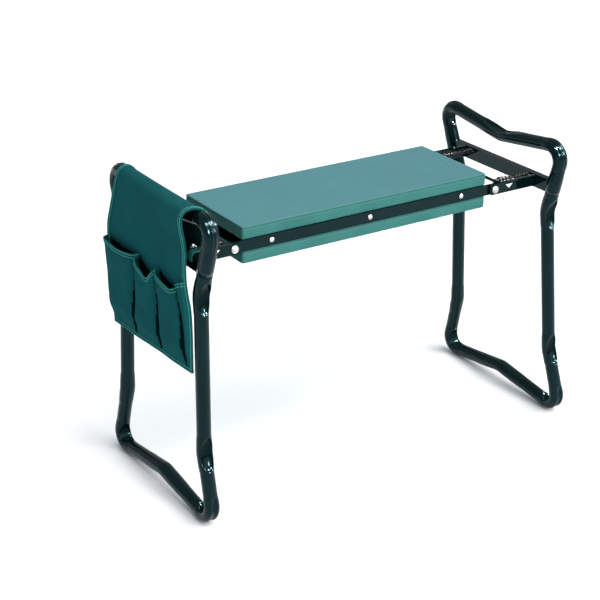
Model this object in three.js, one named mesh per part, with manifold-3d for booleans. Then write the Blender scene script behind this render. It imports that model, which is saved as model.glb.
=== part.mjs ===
// Folding garden kneeler and seat with a tool pouch.
//
// A foam-covered bench sits between two looped tube frames. Each frame is hinged to the ends of the
// two seat rails and folds inwards under the seat. Millimetres, +Z up, X along the seat. The origin
// is on the floor under the middle of the whole object, SEAT_X away from the middle of the seat.

import * as THREE from 'three';
import { mergeVertices } from 'three/addons/utils/BufferGeometryUtils.js';
import Module from 'manifold-3d';

const wasm = await Module();
wasm.setup();

// ---- Driving dimensions ----

const GAP = 0.3; // left between pieces that touch

// Seat
const SEAT_TOP = 401;
const SEAT_X = -9;
const PAD = { length: 413, width: 153, thickness: 17.5, corner: 3, edge: 1.2 };
const PAD_SPACING = 17; // between the two foam pads, filled by the rails and the seat pan
const PIVOT_X = 221;
const PIVOT_Z = SEAT_TOP - PAD.thickness - PAD_SPACING / 2;
const RAIL = { face: 77.5, thickness: 2.2, height: 16, end: 10, lugTop: 10, lugLength: 7 };
const RIVET_SPACING = 161;
const RIVET = { headRadius: 4, headHeight: 1.8, shankRadius: 2, tailRadius: 3.2, tailLength: 1.5 };
const PAN = { length: 408, wall: 1.2 };

// Leg frames: a closed loop in a plane, given by the corners of one half of its centre line
const TUBE_RADIUS = 10;
const TUBE_WALL = 1.2;
const TUBE_SIDES = 12;
const BORE_SIDES = 8;
const LOOP = {
  footY: 140, footZ: 5.3,
  lowKinkY: 112.6, lowKinkZ: 104.4,
  highKinkY: 104.2, highKinkZ: 332.6,
  topY: 138.5, topZ: 442.5,
  archZ: 24, // middle of the foot bar
  dipZ: 423.8, // middle of the hand bar
};
const BEND = { corner: 20, kink: 45, middle: 32 }; // centre-line radii
const SPLICE_Z = 368; // where the handle tube meets the leg tube

// Each side: how far the frame stands outside its pivots, and how far its feet lean outwards.
// The right frame folds over the left one, so it stands one tube further out.
const SIDES = [
  { name: 'left', turn: 0, reach: 64, lean: 1 },
  { name: 'right', turn: Math.PI, reach: 81.5, lean: 4.5 },
];

// Hinge bracket of a frame
const CHANNEL = { height: 21, depth: 9, wall: 1.6 };
const ARM = {
  inner: 79.3, thickness: 2, bottom: -8, top: 9.5, end: 8.5, flange: 4.7,
  windowNear: 20, windowFar: 36, windowTop: 4, windowTip: -3.5,
};
const BOLT = { radius: 3, headRadius: 5.5, headHeight: 3.6, holeRadius: 3.6 };
const NUT = { radius: 5.6, thickness: 5 };
const WASHER = { radius: 6.5, thickness: 1.2 };

// Lock bar and its springs: the cross rod rests against the lugs on the rails
const LOCK = { radius: 2.3, back: 11.3, up: 6.5, halfLength: 78.8, legY: 66 };
const COLLAR = { radius: 4.6, length: 1.6, back: 20 };
const SPRING = { meanRadius: 3.9, wireRadius: 0.7, turns: 8 };

// Tool pouch on the left frame, in that frame's plane
const POUCH = {
  halfWidth: 102, cloth: 2.2, outerFlap: 21, backFlap: 12.5, crown: 11.5,
  bottomZ: 222, backBottomZ: 387, pocketTopZ: 347, bottomThickness: 5, wall: 1.6,
};
// Pockets from the far end of the pouch: edges across the pouch and how far each mouth stands out
const POCKETS = [
  { from: 99, to: 30, bulge: 17 },
  { from: 29, to: -31, bulge: 15 },
  { from: -32, to: -83, bulge: 12.5 },
  { from: -84, to: -102, bulge: 10 },
];
const STRAP = { centreY: 89, width: 13, cloth: 1.6 };

// ---- Materials ----

const finish = (color, roughness, metalness) => () =>
  new THREE.MeshStandardMaterial({ color, roughness, metalness });
const foam = finish(0x4f8f88, 0.85, 0);
const paint = finish(0x10211f, 0.25, 0.3);
const zinc = finish(0xcfd2d0, 0.3, 0.9);
const springSteel = finish(0x17191a, 0.4, 0.7);
const cloth = finish(0x1d5a5c, 0.9, 0);
const binding = finish(0x4f9c86, 0.85, 0);

// ---- Solids and booleans ----

/** Turns a closed geometry into a manifold-3d solid. */
function toSolid(geometry) {
  const bare = geometry.clone();
  bare.deleteAttribute('normal');
  bare.deleteAttribute('uv');
  const merged = mergeVertices(bare, 1e-4);
  return new wasm.Manifold(new wasm.Mesh({
    numProp: 3,
    vertProperties: new Float32Array(merged.attributes.position.array),
    triVerts: new Uint32Array(merged.index.array),
  }));
}

/** Turns a manifold-3d solid back into a geometry. */
function toGeometry(solid) {
  const mesh = solid.getMesh();
  const geometry = new THREE.BufferGeometry();
  geometry.setAttribute('position', new THREE.BufferAttribute(mesh.vertProperties, 3));
  geometry.setIndex(new THREE.BufferAttribute(mesh.triVerts, 1));
  return geometry;
}

/** A geometry with the others cut away from it. */
function cut(geometry, tools) {
  const start = toSolid(geometry);
  return toGeometry(tools.reduce((solid, tool) => solid.subtract(toSolid(tool)), start));
}

/** One geometry made of several overlapping ones. */
function join(geometries) {
  const [first, ...rest] = geometries.map(toSolid);
  return toGeometry(rest.reduce((solid, other) => solid.add(other), first));
}

/** A shape in the X-Z plane, made solid between two Y values. */
function plateXZ(shape, fromY, toY) {
  const geometry = new THREE.ExtrudeGeometry(shape, {
    depth: toY - fromY, bevelEnabled: false, curveSegments: 8,
  });
  return geometry.rotateX(Math.PI / 2).translate(0, toY, 0);
}

/** A box between two corners. */
function block(low, high) {
  const size = high.map((value, i) => value - low[i]);
  const middle = high.map((value, i) => (value + low[i]) / 2);
  return new THREE.BoxGeometry(...size).translate(...middle);
}

/** A solid of revolution about the Y axis from [radius, y] points. */
function turned(points, segments) {
  return new THREE.LatheGeometry(points.map(([r, y]) => new THREE.Vector2(r, y)), segments);
}

function rodAlongY(radius, fromY, toY, segments = 16) {
  return new THREE.CylinderGeometry(radius, radius, toY - fromY, segments)
    .translate(0, (fromY + toY) / 2, 0);
}

// ---- Bent tubes ----

/** A centre line of straight runs and round bends, with stations only at its ends and bends. */
class BentLine extends THREE.Curve {
  constructor(corners, radii) {
    super();
    this.stations = [corners[0]];
    for (let i = 1; i < corners.length - 1; i += 1) {
      this.stations.push(...bendPoints(corners[i - 1], corners[i], corners[i + 1], radii[i - 1]));
    }
    this.stations.push(corners[corners.length - 1]);
    this.steps = this.stations.length - 1;
  }

  getPoint(t, target = new THREE.Vector3()) {
    const place = Math.min(Math.max(t, 0), 1) * this.steps;
    const before = Math.min(Math.floor(place), this.steps - 1);
    return target.lerpVectors(this.stations[before], this.stations[before + 1], place - before);
  }

  getUtoTmapping(u) {
    return u;
  }
}

/** Points on the round bend that replaces a corner. */
function bendPoints(before, corner, after, radius) {
  const back = before.clone().sub(corner).normalize();
  const forward = after.clone().sub(corner).normalize();
  const turn = Math.PI - back.angleTo(forward);
  const tangent = radius * Math.tan(turn / 2);
  const start = corner.clone().addScaledVector(back, tangent);
  const centre = back.clone().add(forward).normalize()
    .multiplyScalar(radius / Math.cos(turn / 2)).add(corner);
  const axis = forward.clone().cross(back).normalize();
  const steps = Math.max(2, Math.ceil(turn / THREE.MathUtils.degToRad(16)));
  const points = [];
  for (let i = 0; i <= steps; i += 1) {
    const arm = start.clone().sub(centre).applyAxisAngle(axis, (turn * i) / steps);
    points.push(arm.add(centre));
  }
  return points;
}

function polygonPoints(radius, sides) {
  const points = [];
  for (let i = 0; i < sides; i += 1) {
    const angle = (2 * Math.PI * (i + 0.5)) / sides;
    points.push(new THREE.Vector2(radius * Math.cos(angle), radius * Math.sin(angle)));
  }
  return points;
}

/** A solid round bar along a centre line. */
function roundBar(line, radius, sides) {
  const section = new THREE.Shape(polygonPoints(radius, sides));
  return new THREE.ExtrudeGeometry(section, { steps: line.steps, extrudePath: line });
}

/** A round tube along a centre line, open at both ends. */
function roundTube(line) {
  const section = new THREE.Shape(polygonPoints(TUBE_RADIUS, TUBE_SIDES));
  section.holes = [new THREE.Path(polygonPoints(TUBE_RADIUS - TUBE_WALL, BORE_SIDES))];
  return new THREE.ExtrudeGeometry(section, { steps: line.steps, extrudePath: line });
}

// ---- Seat ----

function makePad(topZ) {
  const half = { x: PAD.length / 2 - PAD.edge, y: PAD.width / 2 - PAD.edge };
  const shape = new THREE.Shape();
  shape.moveTo(-half.x + PAD.corner, -half.y);
  shape.lineTo(half.x - PAD.corner, -half.y);
  shape.quadraticCurveTo(half.x, -half.y, half.x, -half.y + PAD.corner);
  shape.lineTo(half.x, half.y - PAD.corner);
  shape.quadraticCurveTo(half.x, half.y, half.x - PAD.corner, half.y);
  shape.lineTo(-half.x + PAD.corner, half.y);
  shape.quadraticCurveTo(-half.x, half.y, -half.x, half.y - PAD.corner);
  shape.lineTo(-half.x, -half.y + PAD.corner);
  shape.quadraticCurveTo(-half.x, -half.y, -half.x + PAD.corner, -half.y);
  const geometry = new THREE.ExtrudeGeometry(shape, {
    depth: PAD.thickness - 2 * PAD.edge,
    bevelThickness: PAD.edge,
    bevelSize: PAD.edge,
    bevelSegments: 1,
    curveSegments: 3,
  });
  return geometry.translate(0, 0, topZ - PAD.thickness + PAD.edge);
}

/** The X places of the three rivets along each rail. */
const rivetPlaces = [-RIVET_SPACING, 0, RIVET_SPACING];

/** The folded sheet between the pads: a flat box open at both ends, with the rivet holes. */
function makeSeatPan() {
  const halfWidth = RAIL.face - RAIL.thickness - GAP;
  const halfHeight = PAD_SPACING / 2 - GAP;
  const outer = block([-PAN.length / 2, -halfWidth, -halfHeight], [PAN.length / 2, halfWidth, halfHeight]);
  const inside = block(
    [-PAN.length / 2 - 1, -halfWidth + PAN.wall, -halfHeight + PAN.wall],
    [PAN.length / 2 + 1, halfWidth - PAN.wall, halfHeight - PAN.wall],
  );
  const holes = rivetPlaces.map((x) =>
    rodAlongY(RIVET.shankRadius + 2 * GAP, -halfWidth - 1, halfWidth + 1, 10).translate(x, 0, 0));
  return cut(outer, [inside, ...holes]).translate(0, 0, PIVOT_Z);
}

/**
 * A seat rail on the near side (-Y): a flat strip, round about the pivot at both ends. A lug on the
 * top of each end stops the lock bar from moving inwards.
 */
function makeRail() {
  const half = RAIL.height / 2;
  const lugOut = LOCK.back - LOCK.radius - GAP;
  const lowCorner = Math.asin(half / RAIL.end);
  const highCorner = Math.acos(lugOut / RAIL.end);
  const lugIn = lugOut - RAIL.lugLength;
  const slope = RAIL.lugTop - half;
  const shape = new THREE.Shape();
  shape.moveTo(0, -half);
  shape.absarc(PIVOT_X, 0, RAIL.end, -lowCorner, highCorner, false);
  shape.lineTo(PIVOT_X + lugOut, RAIL.lugTop);
  shape.lineTo(PIVOT_X + lugIn, RAIL.lugTop);
  shape.lineTo(PIVOT_X + lugIn - slope, half);
  shape.lineTo(-PIVOT_X - lugIn + slope, half);
  shape.lineTo(-PIVOT_X - lugIn, RAIL.lugTop);
  shape.lineTo(-PIVOT_X - lugOut, RAIL.lugTop);
  shape.absarc(-PIVOT_X, 0, RAIL.end, Math.PI - highCorner, Math.PI + lowCorner, false);
  shape.holes = [
    ...[-PIVOT_X, PIVOT_X].map((x) => circlePath(x, BOLT.holeRadius)),
    ...rivetPlaces.map((x) => circlePath(x, RIVET.shankRadius + 2 * GAP)),
  ];
  return plateXZ(shape, -RAIL.face, -RAIL.face + RAIL.thickness).translate(0, 0, PIVOT_Z);
}

function circlePath(x, radius) {
  const path = new THREE.Path();
  path.absarc(x, 0, radius, 0, 2 * Math.PI, true);
  return path;
}

/** A rivet with its domed head towards -Y, through a rail and the wall of the seat pan. */
function makeRivet(x) {
  const head = -RAIL.face - GAP;
  const tail = -RAIL.face + RAIL.thickness + GAP + PAN.wall + GAP;
  return turned([
    [0, head - RIVET.headHeight],
    [RIVET.headRadius * 0.6, head - RIVET.headHeight * 0.8],
    [RIVET.headRadius, head],
    [RIVET.shankRadius, head],
    [RIVET.shankRadius, tail],
    [RIVET.tailRadius, tail],
    [RIVET.tailRadius, tail + RIVET.tailLength],
    [0, tail + RIVET.tailLength],
  ], 10).translate(x, 0, PIVOT_Z);
}

/** A pivot bolt with its domed head towards -Y, through an arm, a washer, a rail and a nut. */
function makePivotBolt() {
  const head = -ARM.inner - ARM.thickness - GAP;
  const end = -RAIL.face + RAIL.thickness + GAP + NUT.thickness + 2;
  return turned([
    [0, head - BOLT.headHeight],
    [BOLT.headRadius * 0.55, head - BOLT.headHeight * 0.85],
    [BOLT.headRadius * 0.9, head - BOLT.headHeight * 0.45],
    [BOLT.headRadius, head],
    [BOLT.radius, head],
    [BOLT.radius, end],
    [0, end],
  ], 16);
}

function makePivotNut() {
  const face = -RAIL.face + RAIL.thickness + GAP;
  const hexagon = rodAlongY(NUT.radius, face, face + NUT.thickness, 6);
  return cut(hexagon, [rodAlongY(BOLT.radius + GAP, face - 1, face + NUT.thickness + 1)]);
}

function makePivotWasher() {
  const face = -RAIL.face - GAP;
  const disc = rodAlongY(WASHER.radius, face - WASHER.thickness, face);
  return cut(disc, [rodAlongY(BOLT.radius + 2 * GAP, face - WASHER.thickness - 1, face + 1)]);
}

// ---- Leg frames, in the frame's own plane: +X towards the seat, Z up from the floor ----

const along = (y, z) => new THREE.Vector3(0, y, z);

/** The Y of a leg's centre line at a height between the high kink and the top corner. */
function upperLegY(z) {
  const share = (z - LOOP.highKinkZ) / (LOOP.topZ - LOOP.highKinkZ);
  return LOOP.highKinkY + share * (LOOP.topY - LOOP.highKinkY);
}

/** The hand bar and the upper ends of the legs, down to the splices. */
function handleLine() {
  const end = SPLICE_Z + GAP / 2;
  return new BentLine([
    along(-upperLegY(end), end),
    along(-LOOP.topY, LOOP.topZ),
    along(0, LOOP.dipZ),
    along(LOOP.topY, LOOP.topZ),
    along(upperLegY(end), end),
  ], [BEND.corner, BEND.middle, BEND.corner]);
}

/** The legs below the splices and the foot bar. */
function legLine() {
  const end = SPLICE_Z - GAP / 2;
  return new BentLine([
    along(-upperLegY(end), end),
    along(-LOOP.highKinkY, LOOP.highKinkZ),
    along(-LOOP.lowKinkY, LOOP.lowKinkZ),
    along(-LOOP.footY, LOOP.footZ),
    along(0, LOOP.archZ),
    along(LOOP.footY, LOOP.footZ),
    along(LOOP.lowKinkY, LOOP.lowKinkZ),
    along(LOOP.highKinkY, LOOP.highKinkZ),
    along(upperLegY(end), end),
  ], [BEND.kink, BEND.kink, BEND.corner, BEND.middle, BEND.corner, BEND.kink, BEND.kink]);
}

/** How far a leaning frame slides down in its plane until its foot bar stands on the floor. */
function dropToFloor(side) {
  const tube = roundTube(legLine()).translate(0, 0, -PIVOT_Z).rotateY(leanOf(side));
  tube.computeBoundingBox();
  return (tube.boundingBox.min.z + PIVOT_Z) / Math.cos(leanOf(side));
}

const leanOf = (side) => THREE.MathUtils.degToRad(side.lean);

/** The channel across the frame at pivot height, coped to the tubes and holed for the lock bar. */
function makeChannel(side) {
  const halfHeight = CHANNEL.height / 2;
  const halfDepth = CHANNEL.depth / 2;
  const halfLength = upperLegY(PIVOT_Z);
  const body = block([-halfDepth, -halfLength, -halfHeight], [halfDepth, halfLength, halfHeight]);
  const trough = block(
    [-halfDepth - 1, -halfLength - 1, -halfHeight + CHANNEL.wall],
    [halfDepth - CHANNEL.wall, halfLength + 1, halfHeight - CHANNEL.wall],
  );
  const tubes = [handleLine(), legLine()].map((line) =>
    roundBar(line, TUBE_RADIUS + GAP, TUBE_SIDES).translate(0, 0, -PIVOT_Z - dropToFloor(side)));
  const rodHoles = [-LOCK.legY, LOCK.legY].map((y) =>
    rodAlongY(LOCK.radius + 1.5 * GAP, -CHANNEL.depth, CHANNEL.depth).rotateZ(Math.PI / 2)
      .translate(0, y, LOCK.up));
  return cut(body, [trough, ...tubes, ...rodHoles]);
}

// ---- Hinge bracket pieces, about the pivot: +X towards the seat ----

/** The arm on the -Y side: a plate with a pivot hole, a three-cornered window and a top flange. */
function makeArm(side) {
  const lean = Math.tan(leanOf(side));
  const foot = -side.reach + CHANNEL.depth / 2 + GAP;
  const shape = new THREE.Shape();
  shape.moveTo(foot + ARM.bottom * lean, ARM.bottom);
  shape.lineTo(ARM.end - 4, ARM.bottom);
  shape.quadraticCurveTo(ARM.end, ARM.bottom, ARM.end, ARM.bottom + 4);
  shape.lineTo(ARM.end, ARM.top - 3);
  shape.quadraticCurveTo(ARM.end, ARM.top, ARM.end - 3, ARM.top);
  shape.lineTo(foot + ARM.top * lean, ARM.top);
  const window = new THREE.Path();
  window.moveTo(-ARM.windowNear, ARM.windowTop);
  window.lineTo(-ARM.windowFar, ARM.windowTop);
  window.lineTo(-(ARM.windowNear + ARM.windowFar) / 2, ARM.windowTip);
  shape.holes = [circlePath(0, BOLT.holeRadius), window];
  const web = plateXZ(shape, -ARM.inner - ARM.thickness, -ARM.inner);
  const flange = block(
    [foot + ARM.top * lean, -ARM.inner - ARM.flange, ARM.top - ARM.thickness],
    [ARM.end - 3, -ARM.inner, ARM.top],
  );
  return join([web, flange]);
}

/** The lock bar: a cross rod with two legs through the channel and a spring collar on each leg. */
function makeLockBar(side) {
  const rodAlongX = (radius, fromX, toX, y) =>
    rodAlongY(radius, -toX, -fromX, 12).rotateZ(Math.PI / 2).translate(0, y, LOCK.up);
  const crossRod = rodAlongY(LOCK.radius, -LOCK.halfLength, LOCK.halfLength, 12)
    .translate(-LOCK.back, 0, LOCK.up);
  const legs = [-LOCK.legY, LOCK.legY].flatMap((y) => [
    rodAlongX(LOCK.radius, -side.reach, -LOCK.back, y),
    rodAlongX(COLLAR.radius, -COLLAR.back, -COLLAR.back + COLLAR.length, y),
  ]);
  return join([crossRod, ...legs]);
}

/** A coil spring on a leg of the lock bar, from the collar to the channel. */
function makeSpring(side, y) {
  const near = -COLLAR.back - SPRING.wireRadius - GAP;
  const lean = Math.tan(leanOf(side));
  const far = -side.reach + CHANNEL.depth / 2 + SPRING.wireRadius + GAP + 2 + LOCK.up * lean;
  class Coil extends THREE.Curve {
    getPoint(t, target = new THREE.Vector3()) {
      const angle = 2 * Math.PI * SPRING.turns * t;
      return target.set(
        near + (far - near) * t,
        y + SPRING.meanRadius * Math.cos(angle),
        LOCK.up + SPRING.meanRadius * Math.sin(angle),
      );
    }
  }
  const coil = new Coil();
  coil.steps = SPRING.turns * 7;
  return roundBar(coil, SPRING.wireRadius, 5);
}

// ---- Tool pouch, in the left frame's plane: -X is the outer side ----

/** The cloth sheet draped over the hand bar, with a long outer flap and a short back flap. */
function makePouchSheet() {
  const { outerFlap, backFlap, crown, bottomZ, backBottomZ } = POUCH;
  const thick = POUCH.cloth;
  const middle = (backFlap - outerFlap) / 2;
  const halfSpread = (backFlap + outerFlap) / 2;
  const springZ = barTopZ() + TUBE_RADIUS + GAP - crown;
  const shape = new THREE.Shape();
  shape.moveTo(-outerFlap - thick, bottomZ);
  shape.lineTo(-outerFlap, bottomZ);
  shape.lineTo(-outerFlap, springZ);
  shape.absellipse(middle, springZ, halfSpread, crown, Math.PI, 0, true);
  shape.lineTo(backFlap, backBottomZ);
  shape.lineTo(backFlap + thick, backBottomZ);
  shape.lineTo(backFlap + thick, springZ);
  shape.absellipse(middle, springZ, halfSpread + thick, crown + thick, 0, Math.PI, false);
  return plateXZ(shape, -POUCH.halfWidth, POUCH.halfWidth);
}

/** The highest point of the hand bar's centre line. */
function barTopZ() {
  return Math.max(...handleLine().stations.map((point) => point.z));
}

/** The row of four pockets on the outer flap: each a wedge that stands out most at its open top. */
function makePockets() {
  const back = -POUCH.outerFlap - POUCH.cloth - GAP;
  const wedge = (pocket, inset) => {
    const shape = new THREE.Shape();
    const lift = inset ? POUCH.wall : 0;
    const over = inset ? 5 : 0;
    shape.moveTo(back - inset, POUCH.bottomZ + lift);
    shape.lineTo(back - POUCH.bottomThickness + inset, POUCH.bottomZ + lift);
    shape.lineTo(back - pocket.bulge + inset, POUCH.pocketTopZ);
    shape.lineTo(back - pocket.bulge + inset, POUCH.pocketTopZ + over);
    shape.lineTo(back - inset, POUCH.pocketTopZ + over);
    return plateXZ(shape, pocket.to + inset, pocket.from - inset);
  };
  const backing = block(
    [back - POUCH.wall, POCKETS[POCKETS.length - 1].to, POUCH.bottomZ],
    [back, POCKETS[0].from, POUCH.pocketTopZ],
  );
  const outside = join([backing, ...POCKETS.map((pocket) => wedge(pocket, 0))]);
  return cut(outside, POCKETS.map((pocket) => wedge(pocket, POUCH.wall)));
}

/** A strap from the back flap, out over the channel and down its outer side. */
function makeStrap(y) {
  const seatSide = POUCH.backFlap - GAP;
  const topZ = POUCH.backBottomZ + 6;
  const over = PIVOT_Z + CHANNEL.height / 2 + 2;
  const outside = -CHANNEL.depth / 2 - 2;
  const endZ = PIVOT_Z + 1;
  const shape = new THREE.Shape();
  shape.moveTo(seatSide, topZ);
  shape.lineTo(seatSide, over);
  shape.lineTo(outside, over);
  shape.lineTo(outside, endZ);
  shape.lineTo(outside - STRAP.cloth, endZ);
  shape.lineTo(outside - STRAP.cloth, over + STRAP.cloth);
  shape.lineTo(seatSide - STRAP.cloth, over + STRAP.cloth);
  shape.lineTo(seatSide - STRAP.cloth, topZ);
  return plateXZ(shape, y - STRAP.width / 2, y + STRAP.width / 2);
}

// ---- Assembly ----

function named(name, geometry, material) {
  const mesh = new THREE.Mesh(geometry, material());
  mesh.name = name;
  return mesh;
}

/**
 * A piece on the -Y side and its mirror image on the +Y side. They are named front and back, the
 * other way round in a group that is turned half round about Z.
 */
function bothEnds(group, name, geometry, material, turnedRound = false) {
  const [minusY, plusY] = turnedRound ? ['back', 'front'] : ['front', 'back'];
  const mirrored = geometry.clone().scale(1, -1, 1);
  reverseFaces(mirrored);
  group.add(
    named(`${name}_${minusY}`, geometry, material),
    named(`${name}_${plusY}`, mirrored, material),
  );
}

/** Turns the faces of a mirrored geometry outwards again. */
function reverseFaces(geometry) {
  if (!geometry.index) geometry.setIndex([...Array(geometry.attributes.position.count).keys()]);
  const index = geometry.index.array;
  for (let i = 0; i < index.length; i += 3) {
    [index[i], index[i + 1]] = [index[i + 1], index[i]];
  }
}

function seat() {
  const group = new THREE.Group();
  const lowerPadTop = SEAT_TOP - PAD.thickness - PAD_SPACING;
  group.add(
    named('top_pad', makePad(SEAT_TOP), foam),
    named('bottom_pad', makePad(lowerPadTop), foam),
    named('seat_pan', makeSeatPan(), paint),
  );
  bothEnds(group, 'rail', makeRail(), paint);
  rivetPlaces.forEach((x, i) => bothEnds(group, `rail_rivet_${i + 1}`, makeRivet(x), zinc));
  SIDES.forEach((side) => {
    const x = side.turn ? PIVOT_X : -PIVOT_X;
    bothEnds(group, `${side.name}_pivot_bolt`, makePivotBolt().translate(x, 0, PIVOT_Z), zinc);
    bothEnds(group, `${side.name}_pivot_nut`, makePivotNut().translate(x, 0, PIVOT_Z), zinc);
    bothEnds(group, `${side.name}_pivot_washer`, makePivotWasher().translate(x, 0, PIVOT_Z), zinc);
  });
  return group;
}

/** A leg frame with its hinge bracket and lock bar, hung from its pivots. */
function frame(side) {
  const bracket = new THREE.Group();
  bracket.position.set(side.turn ? PIVOT_X : -PIVOT_X, 0, PIVOT_Z);
  bracket.rotation.z = side.turn;
  bothEnds(bracket, `${side.name}_arm`, makeArm(side), paint, side.turn > 0);
  bracket.add(named(`${side.name}_lock_bar`, makeLockBar(side), springSteel));
  const frontLegY = side.turn ? LOCK.legY : -LOCK.legY;
  bracket.add(named(`${side.name}_spring_front`, makeSpring(side, frontLegY), springSteel));
  bracket.add(named(`${side.name}_spring_back`, makeSpring(side, -frontLegY), springSteel));

  const plane = new THREE.Group();
  plane.position.x = -side.reach;
  plane.rotation.y = leanOf(side);
  const loop = new THREE.Group();
  loop.position.z = -PIVOT_Z - dropToFloor(side);
  loop.add(
    named(`${side.name}_handle_tube`, roundTube(handleLine()), paint),
    named(`${side.name}_leg_tube`, roundTube(legLine()), paint),
  );
  plane.add(loop, named(`${side.name}_channel`, makeChannel(side), paint));
  bracket.add(plane);
  return { bracket, loop };
}

function pouch() {
  const group = new THREE.Group();
  group.add(
    named('pouch_sheet', makePouchSheet(), cloth),
    named('pouch_pockets', makePockets(), cloth),
    named('pouch_strap_front', makeStrap(-STRAP.centreY), binding),
    named('pouch_strap_back', makeStrap(STRAP.centreY), binding),
  );
  return group;
}

const kneeler = new THREE.Group();
const [left, right] = SIDES.map(frame);
left.loop.add(pouch());
kneeler.add(seat(), left.bracket, right.bracket);
kneeler.position.x = SEAT_X;

export default kneeler;
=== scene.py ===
import math

import bpy
import numpy as np
from mathutils import Matrix, Vector, noise


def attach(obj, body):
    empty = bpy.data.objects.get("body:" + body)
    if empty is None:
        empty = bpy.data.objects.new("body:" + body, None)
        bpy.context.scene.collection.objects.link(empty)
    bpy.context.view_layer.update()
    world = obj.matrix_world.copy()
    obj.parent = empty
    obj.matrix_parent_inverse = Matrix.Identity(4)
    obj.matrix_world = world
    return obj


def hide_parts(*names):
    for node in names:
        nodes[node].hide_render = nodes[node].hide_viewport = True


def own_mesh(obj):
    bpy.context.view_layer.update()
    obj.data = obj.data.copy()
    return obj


# Looks of a folding garden kneeler: pressed tubes, foam pads, a cloth pouch and small steel parts.
# Shapes are written in millimetres and turned into metres when a mesh is made. A leg frame is built
# in its own plane (p towards the seat, y, z from the floor) and then put in place by its matrix.

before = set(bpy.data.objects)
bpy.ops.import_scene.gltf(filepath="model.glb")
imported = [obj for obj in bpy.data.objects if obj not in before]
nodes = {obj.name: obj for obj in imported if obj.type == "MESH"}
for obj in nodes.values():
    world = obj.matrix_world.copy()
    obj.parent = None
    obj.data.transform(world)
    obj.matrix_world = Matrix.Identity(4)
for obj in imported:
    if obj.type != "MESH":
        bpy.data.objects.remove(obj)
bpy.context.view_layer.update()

MM = 0.001
GAP = 0.3  # between pieces that touch

# Driving dimensions, in millimetres, the same as the solids'
SEAT_TOP = 401
SEAT_X = -9  # the middle of the seat
PAD = {"length": 413, "width": 153, "thickness": 17.5, "corner": 3.0, "edge": 1.6}
PAD_SPACING = 17
PIVOT_Z = SEAT_TOP - PAD["thickness"] - PAD_SPACING / 2
SIDES = {
    "left": {"pivot_x": -230, "turn": 0.0, "reach": 64, "lean": math.radians(1)},
    "right": {"pivot_x": 212, "turn": math.pi, "reach": 81.5, "lean": math.radians(4.5)},
}
CHANNEL_DEPTH = 9
TUBE_RADIUS = 10
SPLICE_Z = 368  # where the handle tube meets the leg tube
# Corners of the tubes' lines on the +Y side, (y, z), and the height of each line in the middle
HALF_LOOP_TOP = [(138.5, 442.5)]
HALF_LOOP_LOW = [(104.2, 332.6), (112.6, 104.4), (140, 5.3)]
DIP_Z = 423.8
ARCH_Z = 24


# ---- Meshes ----

def make_piece(name, points, faces, material, smooth=True):
    """A mesh object from points in millimetres in the row frame."""
    mesh = bpy.data.meshes.new(name)
    mesh.from_pydata((np.asarray(points, float) * MM).tolist(), [], faces)
    mesh.polygons.foreach_set("use_smooth", [smooth] * len(mesh.polygons))
    piece = bpy.data.objects.new(name, mesh)
    bpy.context.scene.collection.objects.link(piece)
    mesh.materials.append(material)
    return piece


def grid_faces(rows, columns, closed=False, start=0):
    """Quads of a grid of points stored row by row. A closed grid joins its last column to its first."""
    faces = []
    for i in range(rows - 1):
        for j in range(columns if closed else columns - 1):
            k = (j + 1) % columns
            faces.append((start + i * columns + j, start + i * columns + k,
                          start + (i + 1) * columns + k, start + (i + 1) * columns + j))
    return faces


def merge(parts):
    """One point list and face list from several."""
    points, faces = [], []
    for part_points, part_faces in parts:
        faces += [tuple(k + len(points) for k in face) for face in part_faces]
        points += [tuple(point) for point in part_points]
    return points, faces


def lathe(profile, origin, axis, segments=48):
    """Points and faces of a shape turned about an axis, from (radius, distance along the axis)."""
    axis = Vector(axis).normalized()
    across = axis.orthogonal().normalized()
    other = axis.cross(across)
    origin = Vector(origin)
    points = []
    for radius, along in profile:
        for k in range(segments):
            angle = 2 * math.pi * k / segments
            points.append(origin + axis * along
                          + (across * math.cos(angle) + other * math.sin(angle)) * max(radius, 0.01))
    faces = grid_faces(len(profile), segments, closed=True)
    return points, faces


def place(points, matrix):
    """Points in millimetres moved by a matrix in millimetres."""
    points = np.asarray(points, float)
    m = np.array(matrix)
    return points @ m[:3, :3].T + m[:3, 3]


def plane_matrix(side, drop=0.0):
    """From a frame's own plane to the row frame, in millimetres."""
    s = SIDES[side]
    return (Matrix.Translation((s["pivot_x"], 0, PIVOT_Z)) @ Matrix.Rotation(s["turn"], 4, "Z")
            @ Matrix.Translation((-s["reach"], 0, 0)) @ Matrix.Rotation(s["lean"], 4, "Y")
            @ Matrix.Translation((0, 0, -PIVOT_Z - drop)))


def bracket_matrix(side):
    """From a hinge bracket's own axes, about its pivot, to the row frame, in millimetres."""
    s = SIDES[side]
    return Matrix.Translation((s["pivot_x"], 0, PIVOT_Z)) @ Matrix.Rotation(s["turn"], 4, "Z")


def run_along(line):
    """How far along a line of points each of them lies."""
    return np.concatenate([[0], np.cumsum(np.linalg.norm(np.diff(line, axis=0), axis=1))])


def length_of(line):
    return float(np.sum(np.linalg.norm(np.diff(line, axis=0), axis=1)))


def ease(share):
    """A smooth step from 0 to 1."""
    return share * share * (3 - 2 * share)


def thicken(piece, thickness):
    """Gives a sheet of cloth its thickness, in millimetres, half on each side."""
    solid = piece.modifiers.new("thickness", "SOLIDIFY")
    solid.thickness = thickness * MM
    solid.offset = 0


def wobble(points, size, amount, seed):
    """A smooth random number for each point, between -amount and amount, on a scale of size mm."""
    return np.array([noise.noise(Vector(p) / size + Vector((seed, 0, 0))) * amount for p in points])


# ---- Materials ----

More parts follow.
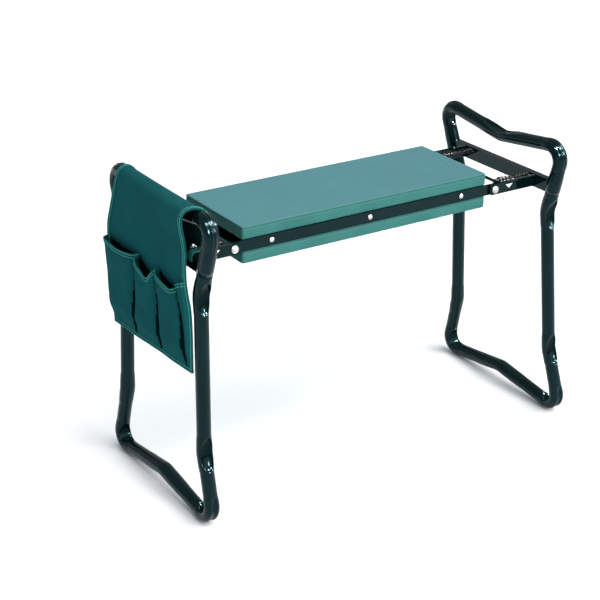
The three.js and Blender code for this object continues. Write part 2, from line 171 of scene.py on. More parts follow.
class Finish:
    """Builds one node material around its Principled shader."""

    def __init__(self, name, **sockets):
        self.material = bpy.data.materials.new(name)
        self.material.use_nodes = True
        self.tree = self.material.node_tree
        self.shader = self.tree.nodes["Principled BSDF"]
        for socket, value in sockets.items():
            self.shader.inputs[socket.replace("_", " ")].default_value = value
        self.where = self.node("ShaderNodeTexCoord").outputs["Object"]

    def node(self, kind, links=None, **settings):
        made = self.tree.nodes.new(kind)
        for key, value in settings.items():
            if hasattr(made, key):
                setattr(made, key, value)
            else:
                made.inputs[key.replace("_", " ")].default_value = value
        for socket, source in (links or {}).items():
            self.tree.links.new(source, made.inputs[socket])
        return made

    def noise(self, scale, detail=3.0, roughness=0.5, stretch=None):
        where = self.where
        if stretch:
            where = self.node("ShaderNodeMapping", {"Vector": where}, Scale=stretch).outputs[0]
        made = self.node("ShaderNodeTexNoise", {"Vector": where})
        made.inputs["Scale"].default_value = scale
        made.inputs["Detail"].default_value = detail
        made.inputs["Roughness"].default_value = roughness
        return made.outputs["Fac"]

    def waves(self, direction, period, profile="SIN", turn=(0, 0, 0)):
        """Parallel bands a period apart, in metres."""
        where = self.node("ShaderNodeMapping", {"Vector": self.where}, Rotation=turn).outputs[0]
        made = self.node("ShaderNodeTexWave", {"Vector": where}, bands_direction=direction,
                         wave_profile=profile)
        made.inputs["Scale"].default_value = 2 * math.pi / (20 * period)
        return made.outputs["Fac"]

    def mix(self, factor, low, high):
        made = self.node("ShaderNodeMix", {"Factor": factor}, data_type="RGBA")
        made.inputs["A"].default_value = (*low, 1)
        made.inputs["B"].default_value = (*high, 1)
        return made.outputs["Result"]

    def math(self, operation, first, second):
        made = self.node("ShaderNodeMath", operation=operation)
        for k, value in enumerate((first, second)):
            if isinstance(value, (int, float)):
                made.inputs[k].default_value = value
            else:
                self.tree.links.new(value, made.inputs[k])
        return made.outputs[0]

    def span(self, value, low, high, to_low=0.0, to_high=1.0):
        made = self.node("ShaderNodeMapRange", {"Value": value})
        for key, number in (("From Min", low), ("From Max", high), ("To Min", to_low), ("To Max", to_high)):
            made.inputs[key].default_value = number
        return made.outputs["Result"]

    def link(self, source, socket):
        self.tree.links.new(source, self.shader.inputs[socket])

    def bump(self, height, distance, strength=1.0):
        made = self.node("ShaderNodeBump", {"Height": height}, Strength=strength, Distance=distance)
        self.link(made.outputs["Normal"], "Normal")


def gloss_paint(name, gloss):
    """Green-black powder coat: a faint orange peel, and a few dull rubbed patches."""
    f = Finish(name, Metallic=0.0, IOR=1.45, Specular_IOR_Level=gloss)
    f.shader.inputs["Specular Tint"].default_value = (0.42, 0.86, 1.0, 1)
    tone = f.noise(18, 3)
    f.link(f.mix(f.span(tone, 0.35, 0.65), (0.001, 0.006, 0.0062), (0.0018, 0.009, 0.0092)), "Base Color")
    rub = f.noise(55, 5, 0.6)
    f.link(f.span(rub, 0.5, 0.8, 0.045, 0.13), "Roughness")
    f.bump(f.noise(300, 2), 0.00006, 0.3)
    return f.material


def satin_black():
    """Blackened spring steel with faint rubbing."""
    f = Finish("satin_black", Metallic=0.0, IOR=1.45, Specular_IOR_Level=0.25)
    tone = f.noise(60, 4)
    f.link(f.mix(f.span(tone, 0.4, 0.7), (0.0015, 0.003, 0.0033), (0.004, 0.007, 0.0075)), "Base Color")
    f.link(f.span(f.noise(180, 4), 0.3, 0.7, 0.28, 0.45), "Roughness")
    f.bump(f.noise(900, 3), 0.0001, 0.3)
    return f.material


def zinc_plate():
    """Dull zinc plating with a fine crystal grain."""
    f = Finish("zinc_plate", Metallic=1.0)
    tone = f.noise(300, 4)
    f.link(f.mix(f.span(tone, 0.3, 0.7), (0.3, 0.32, 0.32), (0.48, 0.5, 0.5)), "Base Color")
    f.link(f.span(f.noise(700, 4), 0.3, 0.7, 0.36, 0.5), "Roughness")
    f.bump(f.noise(1500, 3), 0.00005, 0.3)
    return f.material


def foam_face():
    """The embossed faces of the foam pads: fine crossing diagonal ribs over a cellular grain, in a paler,
    bluer colour than the edges, which paints in the sheen that light gives them.
    """
    f = Finish("foam_face", Sheen_Weight=0.04, Sheen_Roughness=0.5, Specular_IOR_Level=0.08)
    f.shader.inputs["Sheen Tint"].default_value = (0.8, 0.92, 1.0, 1)
    period, slant = 0.0054, math.radians(49)
    one = f.waves("X", period, turn=(0, 0, slant))
    two = f.waves("X", period, turn=(0, 0, -slant))
    ribs = f.math("ADD", f.math("MULTIPLY", one, 0.5), f.math("MULTIPLY", two, 0.5))
    grain = f.noise(2600, 3, 0.6)
    patch = f.noise(9, 3)
    tone = f.math("ADD", f.math("MULTIPLY", ribs, 0.45),
                  f.math("ADD", f.math("MULTIPLY", grain, 0.25), f.math("MULTIPLY", patch, 0.4)))
    # Paler and bluer than the cut edges: painted sheen of the light on the broad faces
    f.link(f.mix(f.span(tone, 0.25, 0.85), (0.048, 0.165, 0.178), (0.07, 0.222, 0.242)), "Base Color")
    f.link(f.span(grain, 0.3, 0.7, 0.55, 0.78), "Roughness")
    f.bump(f.math("ADD", ribs, f.math("MULTIPLY", grain, 0.35)), 0.0004, 0.55)
    return f.material


def foam_edge():
    """The cut edges of the foam pads: smoother, with fine closed cells, and greener than the broad faces,
    whose colour carries painted sheen.
    """
    f = Finish("foam_edge", Sheen_Weight=0.02, Sheen_Roughness=0.5, Specular_IOR_Level=0.06)
    cells = f.node("ShaderNodeTexVoronoi", {"Vector": f.where}).outputs["Distance"]
    cells.node.inputs["Scale"].default_value = 1100
    cloud = f.noise(22, 4)
    tone = f.math("ADD", f.math("MULTIPLY", cloud, 0.7), f.math("MULTIPLY", cells, 0.35))
    f.link(f.mix(f.span(tone, 0.3, 0.75), (0.022, 0.122, 0.11), (0.037, 0.17, 0.154)), "Base Color")
    f.link(f.span(cloud, 0.3, 0.7, 0.6, 0.8), "Roughness")
    f.bump(cells, 0.0003, 0.4)
    return f.material


def woven(name, dark, light, period, turn, sheen, fade):
    """A plain weave of two sets of threads, with cloudy fading over it."""
    f = Finish(name, Sheen_Weight=sheen, Sheen_Roughness=0.4, Specular_IOR_Level=0.01)
    f.shader.inputs["Sheen Tint"].default_value = (0.55, 0.9, 0.9, 1)
    warp = f.waves("Y", period, turn=(turn, 0, 0))
    weft = f.waves("Z", period, turn=(turn, 0, 0))
    weave = f.math("ADD", f.math("MULTIPLY", warp, 0.5), f.math("MULTIPLY", weft, 0.5))
    slub = f.noise(900, 3, 0.6, stretch=(1, 1, 0.2))
    cloud = f.noise(fade, 4)
    tone = f.math("ADD", f.math("MULTIPLY", weave, 0.3),
                  f.math("ADD", f.math("MULTIPLY", slub, 0.3), f.math("MULTIPLY", cloud, 0.5)))
    f.link(f.mix(f.span(tone, 0.3, 0.8), dark, light), "Base Color")
    f.link(f.span(slub, 0.3, 0.7, 0.7, 0.9), "Roughness")
    f.bump(f.math("ADD", weave, f.math("MULTIPLY", slub, 0.5)), 0.0005, 0.6)
    return f.material


PAINT = gloss_paint("gloss_paint", 0.24)
# A less glossy copy of the paint for the insides of the dents: it reflects less of the bright floor, a
# painted shade in the dents
DENT_SHADE_PAINT = gloss_paint("dent_shade_paint", 0.1)
BLACK = satin_black()
ZINC = zinc_plate()
FOAM_FACE = foam_face()
FOAM_EDGE = foam_edge()
CLOTH_PERIOD, TAPE_PERIOD, THREAD_PERIOD = 0.0011, 0.0009, 0.0006  # between two threads, in metres
BIAS = math.radians(40)
CANVAS = woven("canvas", (0.004, 0.058, 0.064), (0.0075, 0.098, 0.106), CLOTH_PERIOD, 0.0, 0.01, 14)
POCKET_CANVAS = woven("pocket_canvas", (0.0038, 0.054, 0.06), (0.007, 0.09, 0.097),
                      CLOTH_PERIOD, 0.0, 0.01, 18)
TAPE = woven("tape", (0.0045, 0.058, 0.06), (0.0085, 0.095, 0.098), TAPE_PERIOD, BIAS, 0.01, 30)
THREAD = woven("thread", (0.07, 0.33, 0.27), (0.11, 0.45, 0.38),
               THREAD_PERIOD, math.radians(30), 0.02, 60)
STRAP_TAPE = woven("strap_tape", (0.02, 0.15, 0.12), (0.035, 0.22, 0.18), TAPE_PERIOD, BIAS, 0.01, 30)
# Canvas in deep shade, in the creases between pockets and inside their mouths
SHADED = woven("shaded_canvas", (0.0005, 0.006, 0.007), (0.001, 0.011, 0.012),
               CLOTH_PERIOD, 0.0, 0.0, 18)


# ---- Pressed tubes ----

class Path:
    """A line of straight runs and round bends in the y-z plane, measured along its length."""

    def __init__(self, corners, radii):
        self.runs, self.bends, self.length = [], [], 0.0
        at = np.array(corners[0], float)
        for i in range(1, len(corners)):
            corner = np.array(corners[i], float)
            if i == len(corners) - 1:
                self._line(at, corner)
                break
            after = np.array(corners[i + 1], float)
            come = (corner - at) / np.linalg.norm(corner - at)
            go = (after - corner) / np.linalg.norm(after - corner)
            turn = math.atan2(come[0] * go[1] - come[1] * go[0], come @ go)
            radius = radii[i - 1]
            start = corner - come * radius * math.tan(abs(turn) / 2)
            self._line(at, start)
            centre = start + math.copysign(radius, turn) * np.array([-come[1], come[0]])
            self.bends.append((self.length + radius * abs(turn) / 2, math.copysign(1, turn)))
            self.runs.append(("arc", self.length, centre, start - centre, turn, radius))
            self.length += radius * abs(turn)
            at = corner + go * radius * math.tan(abs(turn) / 2)

    def _line(self, start, end):
        size = np.linalg.norm(end - start)
        self.runs.append(("line", self.length, start, (end - start) / size))
        self.length += size

    def at(self, s):
        """The point and the direction at a distance along the line."""
        run = [r for r in self.runs if r[1] <= s + 1e-9][-1]
        if run[0] == "line":
            return run[2] + run[3] * (s - run[1]), run[3]
        _, begin, centre, arm, turn, radius = run
        angle = math.copysign((s - begin) / radius, turn)
        c, n = math.cos(angle), math.sin(angle)
        spoke = np.array([c * arm[0] - n * arm[1], n * arm[0] + c * arm[1]])
        ahead = math.copysign(1, turn) * np.array([-spoke[1], spoke[0]]) / radius
        return centre + spoke, ahead

    def stations(self, coarse, fine, near):
        """Distances along the line, closer together near the bends."""
        places, s = [0.0], 0.0
        while s < self.length:
            close = min(abs(s - middle) for middle, _ in self.bends) < near
            s = min(s + (fine if close else coarse), self.length)
            places.append(s)
        return places


# Where the press has dented a bend: half the dent's length and width, its depth, how much wider the
# tube gets there, the groove in the outer side of the bend, and the ripples beside it
PRESS = {
    "kink": {"length": 26, "width": 9.0, "depth": 9.0, "widen": 0.13, "groove": 0.0, "ripple": 0.0},
    "foot": {"length": 30, "width": 8.6, "depth": 6.5, "widen": 0.14, "groove": 4.4, "ripple": 0.0},
    "top": {"length": 27, "width": 8.4, "depth": 5.6, "widen": 0.12, "groove": 0.0, "ripple": 0.6},
    "hand": {"length": 46, "width": 8.8, "depth": 7.5, "widen": 0.12, "groove": 0.0, "ripple": 0.0},
    "arch": {"length": 60, "width": 8.8, "depth": 7.0, "widen": 0.12, "groove": 0.0, "ripple": 0.0},
}
TUBE_SIDES = 96
ROUND = np.arange(TUBE_SIDES) * 2 * math.pi / TUBE_SIDES
DENT_SHAPE = 0.62  # the lower, the steeper a dent's sides and the flatter its floor
RIM = {"height": 0.45, "at": 1.06, "width": 0.08}  # the raised rim of a dent
GROOVE_WIDTH = 3.2
RIPPLE_PERIOD = 4.6
HANDLE_SWELL, LEG_SWELL = 1.1, 0.77  # how much wider the tubes are near their open ends
SWELL_END, SWELL_FADE = 18, 34  # the length of the swollen end, and that of its taper
# The rolled lip of an open end, from the bore to the outside: (in from the outside, out past the end)
LIP = [(1.2, -8.0), (1.2, 0.0), (0.6, 0.3), (0.0, 0.0)]


def tube_section(press, along, sign, radius):
    """The outline of a tube across its line: (towards the left of the line, across the plane)."""
    inward, across = radius * np.cos(ROUND) * sign, radius * np.sin(ROUND)
    if press is None or abs(along) > press["length"] * 1.2:
        return inward * sign, across
    share = max(0.0, 1 - (along / press["length"]) ** 2) ** 0.5
    reach = np.sqrt((along / press["length"]) ** 2 + (across / press["width"]) ** 2)
    dent = press["depth"] * np.clip(1 - reach ** 2, 0, 1) ** DENT_SHAPE
    rim = RIM["height"] * np.exp(-((reach - RIM["at"]) / RIM["width"]) ** 2)
    facing = np.clip(inward / (0.3 * radius), 0, 1)
    outer = np.clip(-inward / radius, 0, 1)
    pressed = inward + (rim - dent) * facing
    pressed = pressed + press["groove"] * share * outer * np.exp(-(across / GROOVE_WIDTH) ** 2)
    pressed = pressed + press["ripple"] * share * outer * np.cos(across * 2 * math.pi / RIPPLE_PERIOD)
    return pressed * sign, across * (1 + press["widen"] * share)


def in_dent(press, along, sign, radius):
    """Which points of a tube's outline lie well inside a dent."""
    if press is None:
        return np.zeros(TUBE_SIDES, bool)
    reach = (along / press["length"]) ** 2 + (radius * np.sin(ROUND) / press["width"]) ** 2
    return (reach < 0.8) & (np.cos(ROUND) * sign > 0)


def pressed_tube(name, side, corners, bends, drop, swell):
    """A bent tube that is dented at each bend, with a rolled lip at its open ends."""
    path = Path(corners, [radius for radius, _ in bends])
    rings, dented = [], []

    def ring(s, press, along, sign, radius, push=0.0):
        middle, direction = path.at(s)
        left = np.array([-direction[1], direction[0]])
        middle = middle + direction * push
        rings.append([(a, middle[0] + left[0] * i, middle[1] + left[1] * i)
                      for i, a in zip(*tube_section(press, along, sign, radius))])
        dented.append(in_dent(press, along, sign, radius))

    def radius_at(s):
        near_end = min(s, path.length - s)
        return TUBE_RADIUS + swell * (1 - ease(min(max((near_end - SWELL_END) / SWELL_FADE, 0), 1)))

    end = radius_at(0)
    for inset, out in LIP:
        ring(0.0, None, 0, 1, end - inset, -out)
    presses = [(PRESS[kind], *bend) for (_, kind), bend in zip(bends, path.bends)]
    for s in path.stations(coarse=7.0, fine=0.9, near=34)[1:-1]:
        press, middle, sign = min(presses, key=lambda p: abs(p[1] - s) / p[0]["length"])
        ring(s, press, s - middle, sign, radius_at(s))
    for inset, out in reversed(LIP):
        ring(path.length, None, 0, 1, end - inset, out)
    points = place([p for r in rings for p in r], plane_matrix(side, drop))
    tube = make_piece(name, points, grid_faces(len(rings), TUBE_SIDES, closed=True), PAINT)
    # Faces well inside a dent take the less glossy paint, which paints shade into the dent
    tube.data.materials.append(DENT_SHADE_PAINT)
    inside = np.array(dented).ravel()
    for polygon in tube.data.polygons:
        polygon.material_index = int(all(inside[v] for v in polygon.vertices))
    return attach(tube, f"{side}_frame")


def upper_leg_y(z):
    (y0, z0), (y1, z1) = HALF_LOOP_LOW[0], HALF_LOOP_TOP[0]
    return y0 + (z - z0) / (z1 - z0) * (y1 - y0)


def mirrored(half, middle):
    """Corners of a whole line from those of its +Y half and the height of its middle."""
    return [(-y, z) for y, z in half] + [(0, middle)] + list(reversed(half))


HANDLE_END = SPLICE_Z + GAP / 2
LEG_END = SPLICE_Z - GAP / 2
HANDLE_CORNERS = mirrored([(upper_leg_y(HANDLE_END), HANDLE_END), *HALF_LOOP_TOP], DIP_Z)
LEG_CORNERS = mirrored([(upper_leg_y(LEG_END), LEG_END), *HALF_LOOP_LOW], ARCH_Z)
# The radius of each bend, and how it is pressed
HANDLE_BENDS = [(20, "top"), (32, "hand"), (20, "top")]
LEG_BENDS = [(45, "kink"), (45, "kink"), (20, "foot"), (32, "arch"), (20, "foot"), (45, "kink"), (45, "kink")]


def lowest(side):
    """How far a leaning frame slides down in its plane until its foot bar stands on the floor."""
    path = Path(LEG_CORNERS, [radius for radius, _ in LEG_BENDS])
    lean = SIDES[side]["lean"]
    low = min(path.at(s)[0][1] for s in np.arange(0, path.length, 1.0))
    return (PIVOT_Z + (low - PIVOT_Z) * math.cos(lean) - TUBE_RADIUS) / math.cos(lean)


for side in SIDES:
    drop = lowest(side)
    handle = pressed_tube(f"{side}_handle", side, HANDLE_CORNERS, HANDLE_BENDS, drop, HANDLE_SWELL)
    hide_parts(f"{side}_handle_tube")
    legs = pressed_tube(f"{side}_legs", side, LEG_CORNERS, LEG_BENDS, drop, LEG_SWELL)
    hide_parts(f"{side}_leg_tube")


# ---- Pressed and folded steel from the solids: rounded edges and a node finish ----

def dress(name, material, edge):
    """Gives a solid's own mesh a finish and rounded edges, edge mm wide."""
    node = nodes[name]
    node.data.materials.clear()
    node.data.materials.append(material)
    bevel = node.modifiers.new("edges", "BEVEL")
    bevel.width = edge * MM
    bevel.segments = 2
    bevel.limit_method = "ANGLE"
    bevel.angle_limit = math.radians(35)


for name in ("seat_pan", "rail_front", "rail_back"):
    dress(name, PAINT, 0.35)
for side in SIDES:
    dress(f"{side}_channel", PAINT, 0.5)
    for end in ("front", "back"):
        dress(f"{side}_arm_{end}", PAINT, 0.45)
        dress(f"{side}_pivot_nut_{end}", ZINC, 0.4)
        dress(f"{side}_pivot_washer_{end}", ZINC, 0.2)


# ---- Bolts and rivets ----

RAIL_FACE = 77.5  # from the seat's middle line to the outer side of a rail
ARM_FACE = 81.3  # and of a hinge arm
RIVETS_X = (-161, 0, 161)  # from the middle of the seat


def dome(radius, height, steps=10):
    """A profile from the top of a dome to its rim, with a short upright rim."""
    rim = 0.22 * height
    rise = height - rim
    points = []
    for k in range(steps + 1):
        angle = math.pi / 2 * k / steps
        points.append((radius * math.sin(angle), -(rim + rise * math.cos(angle))))
    return points + [(radius, -0.25), (radius - 0.25, 0)]


# A flat-topped head with a groove inside its rim: (radius, distance along the axis from its seating)
BOLT_HEAD = [(0, -2.7), (2.9, -2.6), (3.5, -2.3), (3.8, -1.7), (4.2, -1.5), (4.6, -1.9), (5.1, -1.8),
             (5.5, -1.2), (5.5, -0.25), (5.25, 0)]
# The far end of the shank, from the seat's middle line
BOLT_END = [(3, -68.6), (2.4, -68.0), (0, -68.0)]
RIVET_HEAD = dome(3.6, 1.5)
# From the head's seating, through the steel, and then from its far side
RIVET_GRIP = 4.3
RIVET_SHANK = [(2, 0), (2, RIVET_GRIP)]
RIVET_TAIL = [(3.2, 0), (3.0, 1.3), (2.4, 1.5), (0, 1.5)]


def turned_piece(name, profile, x, sign, body, node):
    """A fastener whose head points away from the seat at front (-Y, sign 1) or back (sign -1)."""
    points, faces = lathe(profile, (x, 0, PIVOT_Z), (0, sign, 0))
    piece = make_piece(name, points, faces, ZINC)
    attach(piece, body)
    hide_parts(node)


def shift(profile, by):
    return [(radius, along + by) for radius, along in profile]


for end, sign in (("front", 1), ("back", -1)):
    for side, s in SIDES.items():
        head = -ARM_FACE - GAP
        bolt = shift(BOLT_HEAD, head) + [(3, head), *BOLT_END]
        turned_piece(f"{side}_pivot_bolt_{end}_head", bolt, s["pivot_x"], sign, "seat",
                     f"{side}_pivot_bolt_{end}")
    for k, x in enumerate(RIVETS_X, 1):
        head = -RAIL_FACE - GAP
        rivet = shift(RIVET_HEAD + RIVET_SHANK, head) + shift(RIVET_TAIL, head + RIVET_GRIP)
        turned_piece(f"rivet_{k}_{end}", rivet, x + SEAT_X, sign, "seat", f"rail_rivet_{k}_{end}")


# ---- Lock bars and their springs ----

# The cross rod's place is measured from the pivots: back towards the channel, and up
LOCK = {"radius": 2.3, "back": 11.3, "up": 6.5, "half": 78.8, "leg_y": 66}
COLLAR = {"radius": 4.6, "length": 1.6, "back": 20}
SPRING = {"mean": 3.9, "wire": 0.7, "turns": 8, "clear": 2.0}
# The weld where a leg meets the cross rod: (radius, distance along the leg)
WELD_BEAD = [(2.3, 0), (3.1, 0.5), (3.25, 1.3), (2.9, 2.1), (2.3, 3.2)]


def rod(start, end, radius, segments=32):
    """Points and faces of a round rod with slightly rounded ends."""
    start, end = Vector(start), Vector(end)
    size = (end - start).length
    profile = [(0, 0), (radius - 0.5, 0), (radius - 0.15, 0.15), (radius, 0.5),
               (radius, size - 0.5), (radius - 0.15, size - 0.15), (radius - 0.5, size), (0, size)]
    return lathe(profile, start, end - start, segments)


def lock_bar(side):
    """A cross rod with two legs towards the channel, each with a collar for its spring."""
    reach = SIDES[side]["reach"]
    parts = [rod((-LOCK["back"], -LOCK["half"], LOCK["up"]), (-LOCK["back"], LOCK["half"], LOCK["up"]),
                 LOCK["radius"])]
    for y in (-LOCK["leg_y"], LOCK["leg_y"]):
        parts.append(rod((-reach, y, LOCK["up"]), (-LOCK["back"], y, LOCK["up"]), LOCK["radius"]))
        back = -COLLAR["back"]
        parts.append(rod((back, y, LOCK["up"]), (back + COLLAR["length"], y, LOCK["up"]), COLLAR["radius"]))
        parts.append(lathe(WELD_BEAD, (-LOCK["back"] - 0.6, y, LOCK["up"]), (-1, 0, 0), 32))
    points, faces = merge(parts)
    bar = make_piece(f"{side}_lock_rod", place(points, bracket_matrix(side)), faces, BLACK)
    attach(bar, f"{side}_lock")
    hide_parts(f"{side}_lock_bar")


def coil_spring(side, end, y):
    """A round wire coil with closed ends, on a leg of the lock bar."""
    s = SIDES[side]
    near = -COLLAR["back"] - SPRING["wire"] - GAP
    lean = math.tan(s["lean"])
    far = -s["reach"] + CHANNEL_DEPTH / 2 + SPRING["wire"] + GAP + SPRING["clear"] + LOCK["up"] * lean
    steps, sides = 36, 12
    total = int(SPRING["turns"] * steps)
    centre, points = [], []
    for k in range(total + 1):
        share = k / total
        eased = share - 0.06 * math.sin(2 * math.pi * share)
        angle = 2 * math.pi * SPRING["turns"] * share
        centre.append(Vector((near + (far - near) * eased, y + SPRING["mean"] * math.cos(angle),
                              LOCK["up"] + SPRING["mean"] * math.sin(angle))))
    for k in range(total + 1):
        ahead = (centre[min(k + 1, total)] - centre[max(k - 1, 0)]).normalized()
        out = Vector((0, centre[k].y - y, centre[k].z - LOCK["up"])).normalized()
        out = (out - ahead * out.dot(ahead)).normalized()
        other = ahead.cross(out)
        for j in range(sides):
            angle = 2 * math.pi * j / sides
            points.append(centre[k] + (out * math.cos(angle) + other * math.sin(angle)) * SPRING["wire"])
    faces = grid_faces(total + 1, sides, closed=True)
    faces += [tuple(range(sides)), tuple(total * sides + j for j in range(sides))]
    spring = make_piece(f"{side}_coil_{end}", place(points, bracket_matrix(side)), faces, BLACK)
    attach(spring, f"{side}_frame")
    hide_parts(f"{side}_spring_{end}")
    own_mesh(spring)


for side in SIDES:
    lock_bar(side)
    front = -LOCK["leg_y"] if side == "left" else LOCK["leg_y"]
    coil_spring(side, "front", front)
    coil_spring(side, "back", -front)


# ---- Foam pads ----

# The fine groove under the embossed skin: (in from the edge, up from the top face)
SKIN_GROOVE = [(0.1, -2.0), (0.9, -2.2), (0.9, -2.9), (0.1, -3.1)]
FACE_INSETS = (40, 20, 8, 4)  # rings of points on each broad face
SIDE_BULGE = 0.25  # how far the sides swell between their rounded edges
UNEVEN = 0.35  # the most that a face dips


def pad_outline(along, across):
    """The pad's outline seen from above: four sides, in so many steps, and four round corners."""
    x, y, c = PAD["length"] / 2, PAD["width"] / 2, PAD["corner"]
    points = []
    sides = [((-x + c, -y), (x - c, -y), along), ((x, -y + c), (x, y - c), across),
             ((x - c, y), (-x + c, y), along), ((-x, y - c), (-x, -y + c), across)]
    centres = [(x - c, -y + c), (x - c, y - c), (-x + c, y - c), (-x + c, -y + c)]
    for k, ((start, end, count), centre) in enumerate(zip(sides, centres)):
        start, end = np.array(start), np.array(end)
        points += [start + (end - start) * i / count for i in range(count)]
        for turn in (0, 22.5, 45, 67.5):
            angle = math.radians(90 * k - 90 + turn)
            points.append(np.array(centre) + c * np.array([math.cos(angle), math.sin(angle)]))
    return points


def pad(name, node, top, seed):
    """A foam slab with rounded edges and corners. Its broad faces are very slightly uneven."""
    half = np.array([PAD["length"], PAD["width"]]) / 2
    thickness, edge = PAD["thickness"], PAD["edge"]
    outline = pad_outline(along=104, across=40)

    def ring(inset, z):
        scale = (half - inset) / half
        return [(x * scale[0], y * scale[1], z) for x, y in outline]

    rounding = [(edge * (1 - math.sin(a)), edge * (1 - math.cos(a)))
                for a in (math.radians(turn) for turn in (0, 30, 60, 90))]
    rings = [ring(inset, 0.0) for inset in FACE_INSETS]
    rings += [ring(inset, -fall) for inset, fall in rounding]
    rings += [ring(inset, z) for inset, z in SKIN_GROOVE]
    for share in (0.25, 0.5, 0.75):
        z = -edge - (thickness - 2 * edge) * share
        rings.append(ring(-SIDE_BULGE * math.sin(math.pi * share) + 0.15, z))
    rings += [ring(inset, -thickness + rise) for inset, rise in reversed(rounding)]
    rings += [ring(inset, -thickness) for inset in reversed(FACE_INSETS)]
    points = np.array([p for r in rings for p in r])
    points += (SEAT_X, 0, top)
    points[:, 2] -= np.abs(wobble(points, 60, UNEVEN, seed))
    count, total = len(outline), len(points)
    faces = [tuple(reversed(face)) for face in grid_faces(len(rings), count, closed=True)]
    # one polygon closes the middle of each broad face
    faces += [tuple(range(count)), tuple(reversed(range(total - count, total)))]
    piece = make_piece(name, points, faces, FOAM_FACE)
    piece.data.materials.append(FOAM_EDGE)
    for polygon in piece.data.polygons:
        z = [points[v][2] for v in polygon.vertices]
        if max(z) - min(z) > 0.55 or (min(z) > top - thickness + 0.9 and max(z) < top - 0.9):
            polygon.material_index = 1
    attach(piece, "seat")
    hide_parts(node)


pad("top_foam", "top_pad", SEAT_TOP, seed=3.0)
pad("bottom_foam", "bottom_pad", SEAT_TOP - PAD["thickness"] - PAD_SPACING, seed=8.0)


# ---- Tool pouch, in the left frame's plane ----

NEAR_Y, FAR_Y = -102.0, 100.0
# The sheet's side lines at its near and far edges, from the end of the back flap over the hand bar to
# the bottom of the outer flap: (p, z)
NEAR_EDGE = [(13.5, 386.6), (13.6, 405), (13.4, 424), (11.6, 438), (5.5, 446.4), (-4.5, 450.6),
             (-13.2, 451.4), (-21, 449.3), (-26, 443.7), (-27.3, 436.4), (-25.8, 424.5), (-22.8, 408.5),
             (-20.8, 392.5), (-21.3, 373.1), (-20.8, 353.2), (-18.2, 332.6), (-14.6, 311.5),
             (-12.6, 280.6), (-11.9, 249.3), (-11.6, 222)]
FAR_EDGE = [(13.5, 386.6), (13.6, 405), (13.4, 424), (11.6, 438), (7.0, 445.6), (1.5, 448.8), (-4.5, 448.9),
            (-10.8, 445.8), (-14.4, 440.4), (-16.6, 434), (-18.8, 424), (-22.6, 408.5), (-26.2, 392.5),
            (-30.0, 373.1), (-30.2, 353.2), (-27.6, 332.6), (-25.6, 311.5), (-24.4, 280.6), (-23.4, 249.3),
            (-22.6, 222)]


def smooth_line(points, count):
    """A smooth line through points, evenly spaced along its length."""
    points = np.array(points, float)
    padded = np.vstack([2 * points[0] - points[1], points, 2 * points[-1] - points[-2]])
    fine = []
    for k in range(1, len(padded) - 2):
        a, b, c, d = padded[k - 1], padded[k], padded[k + 1], padded[k + 2]
        for t in np.linspace(0, 1, 12, endpoint=False):
            fine.append(0.5 * (2 * b + (c - a) * t + (2 * a - 5 * b + 4 * c - d) * t * t
                               + (3 * b - a - 3 * c + d) * t ** 3))
    fine = np.array(fine + [points[-1]])
    run = run_along(fine)
    at = np.linspace(0, run[-1], count)
    return np.stack([np.interp(at, run, fine[:, 0]), np.interp(at, run, fine[:, 1])], 1)


ROWS = 161
NEAR_LINE = smooth_line(NEAR_EDGE, ROWS)
FAR_LINE = smooth_line(FAR_EDGE, ROWS)
CROWN = int(np.argmax(NEAR_LINE[:, 1]))  # the row that lies on top of the hand bar
# The part of the back flap between the springs, which hangs lower
TONGUE = {"half": 59, "side": 6, "rows": 14, "drop": 8.5}
CROWN_SAG = 1.6  # how far the cloth dips between its two edges, over the hand bar
FLAP_SAG = 1.5  # and how far the outer flap falls in between them


def flap_point(row, y):
    """A point of the pouch sheet: row from 0 at the back flap's end to ROWS-1 at the bottom."""
    row = min(max(row, 0.0), ROWS - 1.0)
    i = min(int(row), ROWS - 2)
    t = row - i
    near = NEAR_LINE[i] * (1 - t) + NEAR_LINE[i + 1] * t
    far = FAR_LINE[i] * (1 - t) + FAR_LINE[i + 1] * t
    share = (y - NEAR_Y) / (FAR_Y - NEAR_Y)
    p, z = near * (1 - share) + far * share
    middle = math.sin(math.pi * min(max(share, 0), 1))  # 1 in the middle and 0 at both edges
    tongue = min(max((TONGUE["half"] - abs(y)) / TONGUE["side"], 0), 1) * max(1 - row / TONGUE["rows"], 0)
    z -= TONGUE["drop"] * ease(tongue)
    z -= CROWN_SAG * math.exp(-((row - CROWN) / 9) ** 2) * middle
    if row > CROWN:
        down = (row - CROWN) / (ROWS - 1 - CROWN)
        broad = noise.noise(Vector((y / 38, z / 60, 2.0))) * 1.3
        small = noise.noise(Vector((y / 15, z / 28, 7.0))) * 0.35
        ripple = (broad + small) * math.sin(math.pi * min(down * 3, 0.5))
        sag = FLAP_SAG * middle * math.sin(math.pi * min(down * 1.6, 1))
        held = math.sin(math.pi * min(max(share, 0.02), 0.98)) ** 0.4
        p += (ripple + sag) * held
    return np.array([p, y, z])


def outer_p(y, z):
    """The p of the outer flap at a place on it."""
    share = (y - NEAR_Y) / (FAR_Y - NEAR_Y)
    rows = np.arange(CROWN + 8, ROWS)
    zs = NEAR_LINE[rows, 1] * (1 - share) + FAR_LINE[rows, 1] * share
    row = np.interp(-z, -zs, rows)
    return flap_point(row, y)[0]


# Pockets: the y of each divider at the bottom and at the top, and how far each pocket stands out
DIVIDERS = [(99.5, 99.5), (38, 16), (-27, -36), (-92, -84), (-101.5, -101.5)]
BULGE = [12.5, 12.5, 11.0, 6.5]
CREASE = [0, 3.0, 3.6, 3.2, 0]  # half the width of the crease at each divider where it is widest
CREASE_AT = 0.3  # how far up that is
SEAM = 0.4  # half the width of the sewn line at each divider
STAND_OFF = 1.5  # from the middle of the sheet's cloth to the middle of the pockets' where they are sewn
